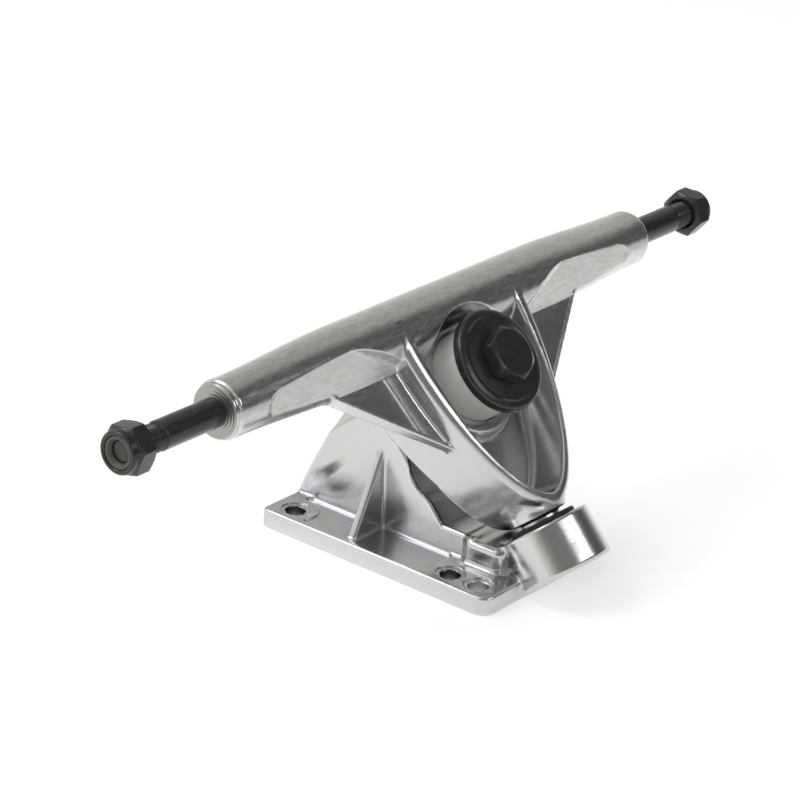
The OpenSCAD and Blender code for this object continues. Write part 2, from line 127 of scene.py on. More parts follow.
def skin(distance, low, high, step):
    """Points and four-sided faces of the surface where the distance is nothing.

    The distance is worked out on a coarse grid first, and on the fine grid only in blocks near the surface.
    Each fine cell that the surface crosses gets one point, and each crossed grid line one face."""
    block = 4
    blocks_away = 1.6
    low = np.array(low, float)
    cells = np.ceil((np.array(high) - low) / (block * step)).astype(int) * block
    axes = [low[axis] + step * np.arange(cells[axis] + 1) for axis in range(3)]
    coarse = np.meshgrid(*[line[::block] for line in axes], indexing="ij")
    rough = distance(*[part.ravel() for part in coarse]).reshape(coarse[0].shape)
    near = np.abs(rough) < block * step * blocks_away
    busy = np.zeros(np.array(near.shape) - 1, bool)
    for i, j, k in np.ndindex(2, 2, 2):
        busy |= near[i:i + busy.shape[0], j:j + busy.shape[1], k:k + busy.shape[2]]
    wanted = np.zeros(cells + 1, bool)
    for i, j, k in np.ndindex(2, 2, 2):
        picks = [np.clip((np.arange(cells[axis] + 1) - back) // block, 0, busy.shape[axis] - 1)
                 for axis, back in enumerate((i, j, k))]
        wanted |= busy[np.ix_(*picks)]
    closest = [np.minimum((np.arange(cells[axis] + 1) + block // 2) // block, rough.shape[axis] - 1)
               for axis in range(3)]
    values = rough[np.ix_(*closest)]
    values[wanted] = distance(*(low + step * np.argwhere(wanted)).T)
    inside = values < 0
    count = np.zeros(cells, int)
    for i, j, k in np.ndindex(2, 2, 2):
        count += inside[i:i + cells[0], j:j + cells[1], k:k + cells[2]]
    active = (count > 0) & (count < 8)
    number = np.full(cells, -1)
    number[active] = np.arange(active.sum())
    corner = np.argwhere(active)
    total = np.zeros((len(corner), 3))
    hits = np.zeros(len(corner))
    for axis in range(3):
        ahead = np.eye(3, dtype=int)[axis]
        for offset in np.ndindex(2, 2, 2):
            if offset[axis]:
                continue
            start = corner + offset
            here = values[tuple(start.T)]
            there = values[tuple((start + ahead).T)]
            crosses = (here < 0) != (there < 0)
            share = np.where(crosses, here / np.where(crosses, here - there, 1), 0)
            total += np.where(crosses[:, None], np.array(offset) + share[:, None] * ahead, 0)
            hits += crosses
    points = low + step * (corner + total / hits[:, None])
    faces = []
    for axis in range(3):
        ahead = np.eye(3, dtype=int)[axis]
        first, second = [other for other in range(3) if other != axis]
        start = inside[tuple(slice(0, cells[n]) if n == axis else slice(1, cells[n]) for n in range(3))]
        stop = inside[tuple(slice(1, cells[n] + 1) if n == axis else slice(1, cells[n]) for n in range(3))]
        edge = np.argwhere(start != stop)
        outward = start[tuple(edge.T)] != (axis == 1)
        edge = edge + 1 - ahead
        around = []
        for back_first, back_second in ((0, 0), (1, 0), (1, 1), (0, 1)):
            cell = edge.copy()
            cell[:, first] -= back_first
            cell[:, second] -= back_second
            around.append(number[tuple(cell.T)])
        around = np.stack(around, axis=1)
        faces.append(np.where(outward[:, None], around, around[:, ::-1]))
    return settle(distance, points), np.concatenate(faces)


def casting(name, distance, low, high, step, kept, place):
    """Mesh object of a casting given by its distance, thinned where it is flat, with exact normals.

    Two values go with each point: edge is high on ridges and low in corners, and open is low in hollows."""
    points, faces = skin(distance, low, high, step)
    dense = bpy.data.meshes.new(name)
    dense.from_pydata(points.tolist(), [], faces.tolist())
    made = bpy.data.objects.new(name, dense)
    bpy.context.scene.collection.objects.link(made)
    thin = made.modifiers.new("thin", "DECIMATE")
    thin.ratio = kept
    bpy.context.view_layer.update()
    mesh = bpy.data.meshes.new_from_object(made.evaluated_get(bpy.context.evaluated_depsgraph_get()))
    made.modifiers.clear()
    made.data = mesh
    bpy.data.meshes.remove(dense)
    mesh.name = name
    points = np.empty(len(mesh.vertices) * 3)
    mesh.vertices.foreach_get("co", points)
    points = settle(distance, points.reshape(-1, 3))
    here, ways = slope(distance, points)
    bend_reach = 0.8
    bend = -6 * here
    for axis in range(3):
        shift = np.zeros(3)
        shift[axis] = bend_reach
        bend += distance(*(points + shift).T) + distance(*(points - shift).T)
    room = np.zeros(len(points))
    room_reaches = (1.5, 4.0, 9.0)
    for far in room_reaches:
        room += np.clip(distance(*(points + far * ways).T) / far, 0, 1) / len(room_reaches)
    mesh.vertices.foreach_set("co", place(points).ravel())
    mesh.polygons.foreach_set("use_smooth", np.ones(len(mesh.polygons), bool))
    mesh.update()
    facings = place(ways) - place(np.zeros((1, 3)))
    facings /= np.linalg.norm(facings, axis=1, keepdims=True)
    mesh.normals_split_custom_set_from_vertices(facings.tolist())
    edge = mesh.attributes.new("edge", "FLOAT", "POINT")
    edge.data.foreach_set("value", np.clip(0.5 + 0.5 * bend / bend_reach, 0, 1))
    open_air = mesh.attributes.new("open", "FLOAT", "POINT")
    open_air.data.foreach_set("value", room)
    return made


def linear(colour):
    """Linear colour of an sRGB hex value."""
    parts = [int(colour[start:start + 2], 16) / 255 for start in (1, 3, 5)]
    return [part / 12.92 if part <= 0.04045 else ((part + 0.055) / 1.055) ** 2.4 for part in parts] + [1.0]


def add(tree, kind, inputs, **settings):
    """Adds a node with its settings, and a value or another node's output for each input.

    A colour mix takes its colours as inputs 6 and 7 and gives output 2, and a vector mix has 4, 5 and 1."""
    made = tree.nodes.new(kind)
    for name, value in settings.items():
        setattr(made, name, value)
    for name, value in inputs.items():
        if isinstance(value, bpy.types.NodeSocket):
            tree.links.new(value, made.inputs[name])
        else:
            made.inputs[name].default_value = value
    return made


def new_material(name):
    """New material, with its nodes and its shader."""
    made = bpy.data.materials.new(name)
    made.use_nodes = True
    return made, made.node_tree, made.node_tree.nodes["Principled BSDF"]


# Polished cast aluminium: bright, with soft waves from hand polishing, a fine grain along the work,
# small pits where the casting skin is left, and duller metal in corners that polishing misses, which
# also take a darker, bluer tone as painted shade. Ridges are rubbed brighter, with a painted highlight.
# Faces of the baseplate under the hanger and deck-hole walls get a dark grey painted shade. The beam is
# brushed along its length, and its end faces, where the road wheels go, are turned: an even, softer shine
# with rings.
# Real grain and rings are finer. They are drawn this coarse so that they show in the render.
wave_mm = 9.0
grain_mm = 0.8
grain_stretch = 4.0
pit_mm = 1.1
turning_ring_mm = 0.9
turned_beyond_mm = 89.85
brushed_within_mm = (11.0, 14.0)
polished_aluminium, tree, shader = new_material("polished_cast_aluminium")
where = add(tree, "ShaderNodeTexCoord", {}).outputs["Object"]
edge_value = add(tree, "ShaderNodeAttribute", {}, attribute_name="edge").outputs["Fac"]
open_value = add(tree, "ShaderNodeAttribute", {}, attribute_name="open").outputs["Fac"]
painted_shade_value = add(tree, "ShaderNodeAttribute", {}, attribute_name="painted_shade").outputs["Fac"]
waves = add(tree, "ShaderNodeTexNoise", {"Vector": where, "Scale": 1 / (wave_mm * MM), "Detail": 1.5})
stretch = add(tree, "ShaderNodeMapping", {"Vector": where, "Scale": (1 / grain_stretch, 1.0, 1.0)})
grain = add(tree, "ShaderNodeTexNoise",
            {"Vector": stretch.outputs["Vector"], "Scale": 1 / (grain_mm * MM), "Detail": 3.0})
pits = add(tree, "ShaderNodeTexNoise", {"Vector": where, "Scale": 1 / (pit_mm * MM), "Detail": 4.0})

# Where a point lies round the axle's line tells the turned faces, their rings and the brushed beam.
from_axle_line = add(tree, "ShaderNodeVectorMath", {0: where, 1: tuple(axle_middle * MM)},
                     operation="SUBTRACT").outputs["Vector"]
apart = add(tree, "ShaderNodeSeparateXYZ", {"Vector": from_axle_line})
reach_out = add(tree, "ShaderNodeMath", {0: apart.outputs["X"]}, operation="ABSOLUTE")
is_turned = add(tree, "ShaderNodeMath", {0: reach_out.outputs["Value"], 1: turned_beyond_mm * MM},
                operation="GREATER_THAN").outputs["Value"]
square_on = add(tree, "ShaderNodeVectorMath", {0: from_axle_line, 1: (0.0, 1.0, 1.0)}, operation="MULTIPLY")
axle_reach = add(tree, "ShaderNodeVectorMath", {0: square_on.outputs["Vector"]},
                 operation="LENGTH").outputs["Value"]
ring_phase = add(tree, "ShaderNodeMath", {0: axle_reach, 1: 2 * math.pi / (turning_ring_mm * MM)},
                 operation="MULTIPLY")
ring_wave = add(tree, "ShaderNodeMath", {0: ring_phase.outputs["Value"]}, operation="SINE")
ring_height = add(tree, "ShaderNodeMath", {0: ring_wave.outputs["Value"], 1: is_turned}, operation="MULTIPLY")
on_beam = add(tree, "ShaderNodeMapRange",
              {"Value": axle_reach, "From Min": brushed_within_mm[0] * MM,
               "From Max": brushed_within_mm[1] * MM, "To Min": 1.0, "To Max": 0.0})

# Colour, from the polished tone, with painted shade in hollows, through rubbed edges with a painted
# highlight, pits, brushing and the painted shade under the hanger to the turned faces.
hollow = add(tree, "ShaderNodeMapRange",
             {"Value": open_value, "From Min": 0.35, "From Max": 0.95, "To Min": 1.0, "To Max": 0.0})
pit_share = add(tree, "ShaderNodeMapRange",
                {"Value": pits.outputs["Fac"], "From Min": 0.62, "From Max": 0.78})
dull = add(tree, "ShaderNodeMath", {0: hollow.outputs["Result"], 1: pit_share.outputs["Result"]},
           operation="MULTIPLY")
# Painted shade: corners and recesses take a darker, bluer tone where shade falls, besides the duller metal
# there.
hollow_shaded_tone = add(tree, "ShaderNodeMix",
           {"Factor": hollow.outputs["Result"], 6: linear("#D0D0CF"), 7: linear("#C2C4C8")}, data_type="RGBA")
# Painted highlight: ridges get a lighter colour, partly real rubbing and partly a highlight painted along
# them.
rubbed_edge_highlight = add(tree, "ShaderNodeMapRange", {"Value": edge_value, "From Min": 0.62, "From Max": 0.95})
edge_highlit = add(tree, "ShaderNodeMix",
             {"Factor": rubbed_edge_highlight.outputs["Result"], 6: hollow_shaded_tone.outputs[2], 7: linear("#D8D8D8")}, data_type="RGBA")
spots = add(tree, "ShaderNodeMix",
            {"Factor": dull.outputs["Value"], 6: edge_highlit.outputs[2], 7: linear("#B3B4B8")}, data_type="RGBA")
streaks = add(tree, "ShaderNodeMapRange",
              {"Value": grain.outputs["Fac"], "From Min": 0.35, "From Max": 0.65, "To Max": 0.45})
brushing = add(tree, "ShaderNodeMath", {0: on_beam.outputs["Result"], 1: streaks.outputs["Result"]},
               operation="MULTIPLY")
brushed = add(tree, "ShaderNodeMix",
              {"Factor": brushing.outputs["Value"], 6: spots.outputs[2], 7: linear("#F2F2F1")},
              data_type="RGBA")
# Painted shade: dark grey on faces under the hanger, in the scallop, behind the saddle and on deck-hole
# walls.
under_hanger_shaded = add(tree, "ShaderNodeMix", {"Factor": painted_shade_value, 6: brushed.outputs[2], 7: linear("#7C7A7C")},
                data_type="RGBA")
colour = add(tree, "ShaderNodeMix", {"Factor": is_turned, 6: under_hanger_shaded.outputs[2], 7: linear("#A6A6A3")},
             data_type="RGBA")
tree.links.new(colour.outputs[2], shader.inputs["Base Color"])

# Roughness and relief: grain only where polishing reached, pits in the hollows, rings on the turned faces.
rough = add(tree, "ShaderNodeMapRange", {"Value": hollow.outputs["Result"], "To Min": 0.13, "To Max": 0.23})
polished_grain = add(tree, "ShaderNodeMath", {0: grain.outputs["Fac"], 1: open_value},
                     operation="MULTIPLY").outputs["Value"]
rougher = add(tree, "ShaderNodeMath", {0: polished_grain, 1: 0.18, 2: rough.outputs["Result"]},
              operation="MULTIPLY_ADD")
sheen = add(tree, "ShaderNodeMix", {"Factor": is_turned, "A": rougher.outputs["Value"], "B": 0.36},
            data_type="FLOAT")
tree.links.new(sheen.outputs["Result"], shader.inputs["Roughness"])
surface = add(tree, "ShaderNodeNewGeometry", {})
facing = add(tree, "ShaderNodeMix", {"Factor": is_turned, 4: surface.outputs["Normal"],
                                     5: surface.outputs["True Normal"]}, data_type="VECTOR")
ring_bump = add(tree, "ShaderNodeBump",
                {"Height": ring_height.outputs["Value"], "Strength": 1.0, "Distance": 0.03 * MM,
                 "Normal": facing.outputs[1]})
soft_bump = add(tree, "ShaderNodeBump",
                {"Height": waves.outputs["Fac"], "Strength": 1.0, "Distance": 0.15 * MM,
                 "Normal": ring_bump.outputs["Normal"]})
grain_bump = add(tree, "ShaderNodeBump",
                 {"Height": polished_grain, "Strength": 1.0, "Distance": 0.012 * MM,
                  "Normal": soft_bump.outputs["Normal"]})
pit_bump = add(tree, "ShaderNodeBump",
               {"Height": dull.outputs["Value"], "Strength": 1.0, "Distance": 0.01 * MM,
                "Normal": grain_bump.outputs["Normal"]}, invert=True)
tree.links.new(pit_bump.outputs["Normal"], shader.inputs["Normal"])
shader.inputs["Metallic"].default_value = 1.0

plate_half = (26.8, 39.0)
plate_top = 5.4
front_corner = 4.0
rear_corner = 2.0
buried = -2.0
recess_middle = (17.8, 9.0)
recess_half = (6.8, 25.0)
recess_depth = 0.6
hole_across = 20.65
hole_rows = (31.75, -22.25, -31.75)
hole_radius = 2.75
hole_above = 2.0
hole_land = 6.6
spotface_radius = 4.0
spotface_depth = 0.4
tower_half = 11.0
tower_foot = -22.5
tower_crest = 5.0
tower_depth = 18.4
tower_flare = 0.042
tower_flare_rise = 32.0
tower_seat = -25.8
tower_shoulder = -22.8
seat_mouth_radius = 13.3
seat_mouth_rise = 1.9
seat_radius = 11.3
kingpin_hole = 5.0
nut_seat = -35.8
pocket_half = 7.4
pocket_floor = 1.0
head_radius = 12.5
scallop_middle = (-36.8, -14.4)
scallop_radius = 10.2
rib_foot = (23.2, 5.4)
rib_peak = (11.0, 30.8)
rib_place = 10.0
rib_half = 1.0
rib_draft = 0.015
rib_draft_from = 30.0
saddle_top = 12.4
saddle_half = (13.3, 6.4)
saddle_middle = -26.4
boss_mouth = -62.3
boss_foot = -76.6
boss_length = 14.3
boss_radius = 12.5
boss_flare = 0.6
cup_bore = 8.22
cup_floor = 2.3
flange_bore = 9.55


def baseplate_distance(x, y, z):
    """Distance to the baseplate: plate, tower, ribs, saddle and boss, less the seats and holes."""
    a = np.abs(x)
    v, k = from_axle(y, z)
    off = np.hypot(x, v + kingpin_offset)
    around = np.hypot(x, k)
    corner = np.where(y > 0, rear_corner, front_corner)
    past_x = a - plate_half[0] + corner
    past_y = np.abs(y) - plate_half[1] + corner
    flat = np.hypot(np.maximum(past_x, 0), np.maximum(past_y, 0))
    flat = flat + np.minimum(np.maximum(past_x, past_y), 0) - corner
    plate = trim(flat, z - plate_top, 0.8)
    recess = trim(np.abs(a - recess_middle[0]) - recess_half[0],
                  np.abs(y - recess_middle[1]) - recess_half[1], 2.0)
    recess = trim(recess, hole_land - np.hypot(a - hole_across, y - hole_rows[0]), 1.5)
    plate = trim(plate, -trim(recess, plate_top - recess_depth - z, 0.4), 0.4)

    crest = tower_crest - kingpin_offset
    rear_foot = np.array([plate_half[1], plate_top])
    rear_crest = side(crest, tower_seat - tower_depth)
    shoulder_crest = side(crest, tower_shoulder)
    drop = (shoulder_crest[1] - saddle_top) / pivot_up[2]
    shoulder_foot = shoulder_crest - drop * pivot_up[1:]
    profile = [(plate_half[1], buried), tuple(rear_foot), tuple(rear_crest), tuple(shoulder_crest),
               tuple(shoulder_foot), (tower_foot, saddle_top), (tower_foot, buried)]
    flare = tower_flare * np.clip(z - plate_top, 0, tower_flare_rise)
    tower = trim(outline(profile, y, z), a - tower_half - flare, 1.1)
    rise = (rear_crest - rear_foot) / np.linalg.norm(rear_crest - rear_foot)
    rear = (y - rear_foot[0]) * rise[1] - (z - rear_foot[1]) * rise[0]
    head = trim(trim(off - head_radius, rear, 1.2), k - tower_shoulder, 0.9)
    tower = join(tower, np.maximum(head, buried - z), 0.4)
    scallop = np.hypot(v - scallop_middle[0], k - scallop_middle[1]) - scallop_radius
    tower = trim(tower, -scallop, 0.9)
    body = np.maximum(join(plate, tower, 0.7), y - plate_half[1])

    lean = np.array([rib_peak[1] - rib_foot[1], rib_foot[0] - rib_peak[0]])
    lean /= np.linalg.norm(lean)
    ramp = (a - rib_foot[0]) * lean[0] + (z - rib_foot[1]) * lean[1]
    rib = trim(ramp, np.abs(y - rib_place) - rib_half - rib_draft * (rib_draft_from - z), 1.0)
    body = join(body, np.maximum(rib, buried - z), 1.0)

    saddle = trim(a - saddle_half[0], np.abs(y - saddle_middle) - saddle_half[1], 2.6)
    saddle = trim(saddle, z - saddle_top, 1.8)
    body = join(body, np.maximum(saddle, buried - z), 1.8)
    boss = around - boss_radius - boss_flare * (boss_mouth - v) / boss_length
    boss = trim(trim(boss, v - boss_mouth, 0.7), boss_foot - v, 1.5)
    body = join(body, boss, 1.8)

    body = trim(body, -trim(off - seat_mouth_radius, tower_seat + seat_mouth_rise - k, 0.4), 0.5)
    body = trim(body, -np.maximum(off - seat_radius, tower_seat - k), 0.3)
    body = trim(body, kingpin_hole - off, 0.3)
    pocket = np.abs(x * math.cos(math.radians(30))) + 0.5 * np.abs(v + kingpin_offset)
    pocket = np.maximum(pocket, np.abs(v + kingpin_offset)) - pocket_half
    pocket = np.maximum(trim(pocket, k - nut_seat, 0.2), plate_top + pocket_floor - z)
    body = trim(body, -pocket, 0.5)
    body = trim(body, -np.maximum(around - cup_bore, boss_foot + cup_floor - v), 0.5)
    body = trim(body, -np.maximum(around - flange_bore, boss_mouth - v), 0.4)
    for row in hole_rows:
        hole = np.hypot(a - hole_across, y - row)
        body = trim(body, -trim(hole - spotface_radius, plate_top - spotface_depth - z, 0.1), 0.15)
        body = trim(body, -np.maximum(hole - hole_radius, z - plate_top - hole_above), 0.3)
    return trim(body, -z, 0.4)


grid_step = 0.55
kept_share = 0.4
baseplate = casting("baseplate_casting", baseplate_distance, (-28.5, -61.5, -1.5), (28.5, 41, 46),
                    grid_step, kept_share, lambda points: points * MM)
baseplate.data.materials.append(polished_aluminium)

# Painted shade: the tower's front under the hanger, its scallop, the back of the saddle and the walls
# of two rows of deck holes get a dark grey colour that stands in for the shade there.
shade_depth = 2.2
shade_above = 11.5
shade_behind = -17.0
shade_sideways = 0.4
shade_hole_radius = 2.95
places = np.empty(len(baseplate.data.vertices) * 3)
baseplate.data.vertices.foreach_get("co", places)
x, y, z = places.reshape(-1, 3).T / MM
facings = np.empty(len(baseplate.data.vertices) * 3)
baseplate.data.vertex_normals.foreach_get("vector", facings)
v, k = from_axle(y, z)
faces_along = np.abs(facings[::3]) < shade_sideways
shaded_places = (k > tower_shoulder - shade_depth) & (z > shade_above) & (y > shade_behind) & faces_along
for row in hole_rows[:2]:
    shaded_places |= np.hypot(np.abs(x) - hole_across, y - row) < shade_hole_radius
painted_shade = baseplate.data.attributes.new("painted_shade", "FLOAT", "POINT")
painted_shade.data.foreach_set("value", shaded_places.astype(float))
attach(baseplate, "baseplate")
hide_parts("baseplate")


# Pivot cup
# Moulded black rubber cup with a thin flange, pressed into the boss.
# The hanger's nose turns in it, so its bore is smooth and its mouth rounded.
def rounded(corners, steps=4):
    """Closed outline whose corners, each given with its radius, are rounded by arcs."""
    nearly_straight = 1.55
    points = []
    for before, here, after in zip(corners[-1:] + corners[:-1], corners, corners[1:] + corners[:1]):
        spot = np.array(here[:2])
        back = np.array(before[:2]) - spot
        on = np.array(after[:2]) - spot
        back /= np.linalg.norm(back)
        on /= np.linalg.norm(on)
        half = math.acos(np.clip(back @ on, -1, 1)) / 2
        if here[2] == 0 or half > nearly_straight:
            points.append(spot)
            continue
        middle = (back + on) / np.linalg.norm(back + on)
        centre = spot + middle * here[2] / math.sin(half)
        start = spot + back * here[2] / math.tan(half) - centre
        stop = spot + on * here[2] / math.tan(half) - centre
        turn = math.atan2(start[0] * stop[1] - start[1] * stop[0], start @ stop)
        for step in range(steps + 1):
            angle = turn * step / steps
            points.append(centre + np.array([
                start[0] * math.cos(angle) - start[1] * math.sin(angle),
                start[0] * math.sin(angle) + start[1] * math.cos(angle)]))
    return np.array(points)


def turned(profile, angles):
    """Rings of a piece round its axis, at these angles.

    The profile gives a radius and a height for each ring, as one number or as one for each angle."""
    rings = []
    for radius, height in profile:
        radius = np.broadcast_to(radius, angles.shape)
        height = np.broadcast_to(height, angles.shape)
        rings.append(np.stack([radius * np.cos(angles), radius * np.sin(angles), height], axis=1))
    return rings


def sheath(name, rings, place, closed):
    """Mesh object through rings of points, joined end to end or capped."""
    rings = np.array(rings)
    rows, columns = rings.shape[:2]
    points = place(*rings.reshape(-1, 3).T)
    index = np.arange(rows * columns).reshape(rows, columns).tolist()
    last = rows if closed else rows - 1
    faces = []
    for row in range(last):
        here = index[row]
        there = index[(row + 1) % rows]
        for column in range(columns):
            following = (column + 1) % columns
            faces.append((here[column], here[following], there[following], there[column]))
    if not closed:
        faces.append(tuple(index[0][::-1]))
        faces.append(tuple(index[-1]))
    mesh = bpy.data.meshes.new(name)
    mesh.from_pydata(points.tolist(), [], faces)
    mesh.update()
    made = bpy.data.objects.new(name, mesh)
    bpy.context.scene.collection.objects.link(made)
    mesh.polygons.foreach_set("use_smooth", np.ones(len(mesh.polygons), bool))
    mesh.set_sharp_from_angle(angle=math.radians(50))
    weighted = made.modifiers.new("flats stay flat", "WEIGHTED_NORMAL")
    weighted.keep_sharp = True
    return made


def even_angles(count):
    """Angles evenly round a full turn."""
    return np.linspace(0, 2 * math.pi, count, endpoint=False)


def on_pivot(x, y, z):
    """Places of points in the pivot's own frame, with z down the pivot axis."""
    return at_axle(x, -z, y)


def mottled(name, mottle, shades, roughness, grain, bump):
    """Material whose colour and roughness follow a soft mottle and whose relief follows a grain.

    Mottle and grain are a size in millimetres and a detail of the noise, and bump is a strength and
    a height in millimetres."""
    made, tree, shader = new_material(name)
    where = add(tree, "ShaderNodeTexCoord", {}).outputs["Object"]
    soft, fine = [add(tree, "ShaderNodeTexNoise",
                      {"Vector": where, "Scale": 1 / (size * MM), "Detail": detail}).outputs["Fac"]
                  for size, detail in (mottle, grain)]
    shade = add(tree, "ShaderNodeMix", {"Factor": soft, 6: linear(shades[0]), 7: linear(shades[1])},
                data_type="RGBA")
    tree.links.new(shade.outputs[2], shader.inputs["Base Color"])
    rough = add(tree, "ShaderNodeMapRange", {"Value": soft, "To Min": roughness[0], "To Max": roughness[1]})
    tree.links.new(rough.outputs["Result"], shader.inputs["Roughness"])
    relief = add(tree, "ShaderNodeBump", {"Height": fine, "Strength": bump[0], "Distance": bump[1] * MM})
    tree.links.new(relief.outputs["Normal"], shader.inputs["Normal"])
    return made, shader


# Black rubber: matt and slightly mottled, with the fine skin of a mould.
black_rubber, shader = mottled("black_rubber", mottle=(0.6, 3.0), shades=("#151515", "#242423"),
                               roughness=(0.5, 0.75), grain=(0.6, 3.0), bump=(0.6, 0.03))

full_turn = even_angles(96)
cup_outline = rounded([(5.65, 61.1, 0.4), (9.3, 61.1, 0.5), (9.3, 62.3, 0.2), (8.2, 62.3, 0),
                       (8.2, 74.3, 1.2), (0.3, 74.3, 0), (0.3, 72.1, 0), (5.65, 72.1, 0)])
cup = sheath("pivot_rubber_cup", turned(cup_outline, full_turn), on_pivot, True)
cup.data.materials.append(black_rubber)
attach(cup, "baseplate")
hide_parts("pivot_cup")


# Board washer
# Stamped steel washer, blackened, with rounded edges.
# It lies in the tower's seat, under the board side bushing.
def on_kingpin(x, y, z):
    """Places of points in the kingpin's own frame, with z out along the kingpin."""
    return at_axle(x, y - kingpin_offset, z)


# Black oxide steel: near black with a semi-gloss, faintly uneven, under a thin film of oil.
black_steel, shader = mottled("black_oxide_steel", mottle=(2.5, 4.0), shades=("#232425", "#38393A"),
                              roughness=(0.18, 0.34), grain=(0.35, 2.0), bump=(0.6, 0.012))
shader.inputs["Metallic"].default_value = 0.25
shader.inputs["Coat Weight"].default_value = 0.2
shader.inputs["Coat Roughness"].default_value = 0.14

washer_outline = rounded([(5.0, -25.8, 0.2), (11.1, -25.8, 0.4), (11.1, -23.8, 0.8), (5.0, -23.8, 0.2)])
board_washer = sheath("board_side_washer", turned(washer_outline, full_turn), on_kingpin, True)
board_washer.data.materials.append(black_steel)
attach(board_washer, "baseplate")
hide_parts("board_washer")

# Board side bushing
# Poured white urethane, a short barrel with rounded ends, squeezed between the washer and the hanger.
# Urethane: milky, satin, with a little light passing under its surface.
white_urethane, shader = mottled("white_urethane", mottle=(4.0, 3.0), shades=("#E4E4E1", "#F1F1EE"),
                                 roughness=(0.32, 0.5), grain=(4.0, 3.0), bump=(0.4, 0.05))
shader.inputs["Subsurface Weight"].default_value = 0.15
shader.inputs["Subsurface Radius"].default_value = (1.5 * MM, 1.5 * MM, 1.4 * MM)
shader.inputs["Subsurface Scale"].default_value = 1.0
bushing_radius = 12.5
bushing_bore = 5.0


def bushing(name, node, bottom, top, fixed_end, moving_end):
    """Barrel between two heights on the kingpin."""
    profile = [(bushing_bore, bottom, 0.5), (bushing_radius, bottom, 1.0)]
    for share in (0.3, 0.5, 0.7):
        profile.append((bushing_radius, bottom + share * (top - bottom), 0))
    profile += [(bushing_radius, top, 1.0), (bushing_bore, top, 0.5)]
    for share in (0.7, 0.5, 0.3):
        profile.append((bushing_bore, bottom + share * (top - bottom), 0))
    made = sheath(name, turned(rounded(profile), full_turn), on_kingpin, True)
    made.data.materials.append(white_urethane)
    start, end = [tuple(float(n) for n in on_kingpin(0.0, 0.0, height)) for height in (fixed_end, moving_end)]
    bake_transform(made)
    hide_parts(node)


bushing("board_side_bushing", "board_bushing", -23.8, -10.8, -23.8, -10.8)

# Hanger
# One aluminium casting: a tapered beam around the axle, a boat-shaped shield with a thin bright rim,
# a wing on each side and the pivot nose. Polished all over, with its wheel faces turned true.
beam_half = 90.0
beam_shoulder = 88.5
wheel_face_radius = 7.3
beam_end_radius = 7.95
beam_swell = 1.55
swell_from = 87.0
swell_run = 45.0
scoop_facing = math.radians(36.5)
scoop_lift = 7.55
scoop_end = 80.2
scoop_end_bow = 0.5
scoop_end_power = 1.6
scoop_start = 29.8
scoop_slant = 1.76
scoop_slant_length = 2.03
scoop_inner_limit = 24.2
shield_half = 26.7
shield_start = 2.8
shield_length = 56.4
shield_power = 1 / 0.56
shield_run = 1.7
shield_bottom = -12.0
shield_back = 2.0
draft_least = 0.03
draft_growth = 0.085
draft_from = -40.0
draft_run = 18.0
draft_depth = 20.0
rim_top = 9.0
wall_least = 3.0
wall_more_at_beam = 1.7
beam_end_of_wall = (-32.0, 20.0)
wall_more_at_nose = 0.8
nose_end_of_wall = (-42.0, 15.0)
trough_floor = -3.0
trough_draft = 0.1
trough_draft_depth = 11.0
neck_radius = 8.0
neck_start = -46.0
neck_end = -59.9
ring_radius = 16.5
ring_top = 0.5
ring_cut_radius = 17.6
wing_corner = (53.0, -9.3)
wing_tip = (22.9, -32.9)
wing_top = 3.0
wing_bottom = -1.3
wing_bottom_rise = 1.4
wing_root = 1.2
panel_lip = 0.9
panel_floor = 2.35
panel_tip_lip = 1.0
panel_step = 0.1
step_place = (32.8, -9.8)
step_slope = 3.0 / 17.3
step_width = 0.7
bushing_seat_radius = 12.8
road_seat = -4.0
board_seat = -10.5
hanger_bore = 8.8
nose_radius = 5.6
nose_start = -57.0
nose_end = -71.8


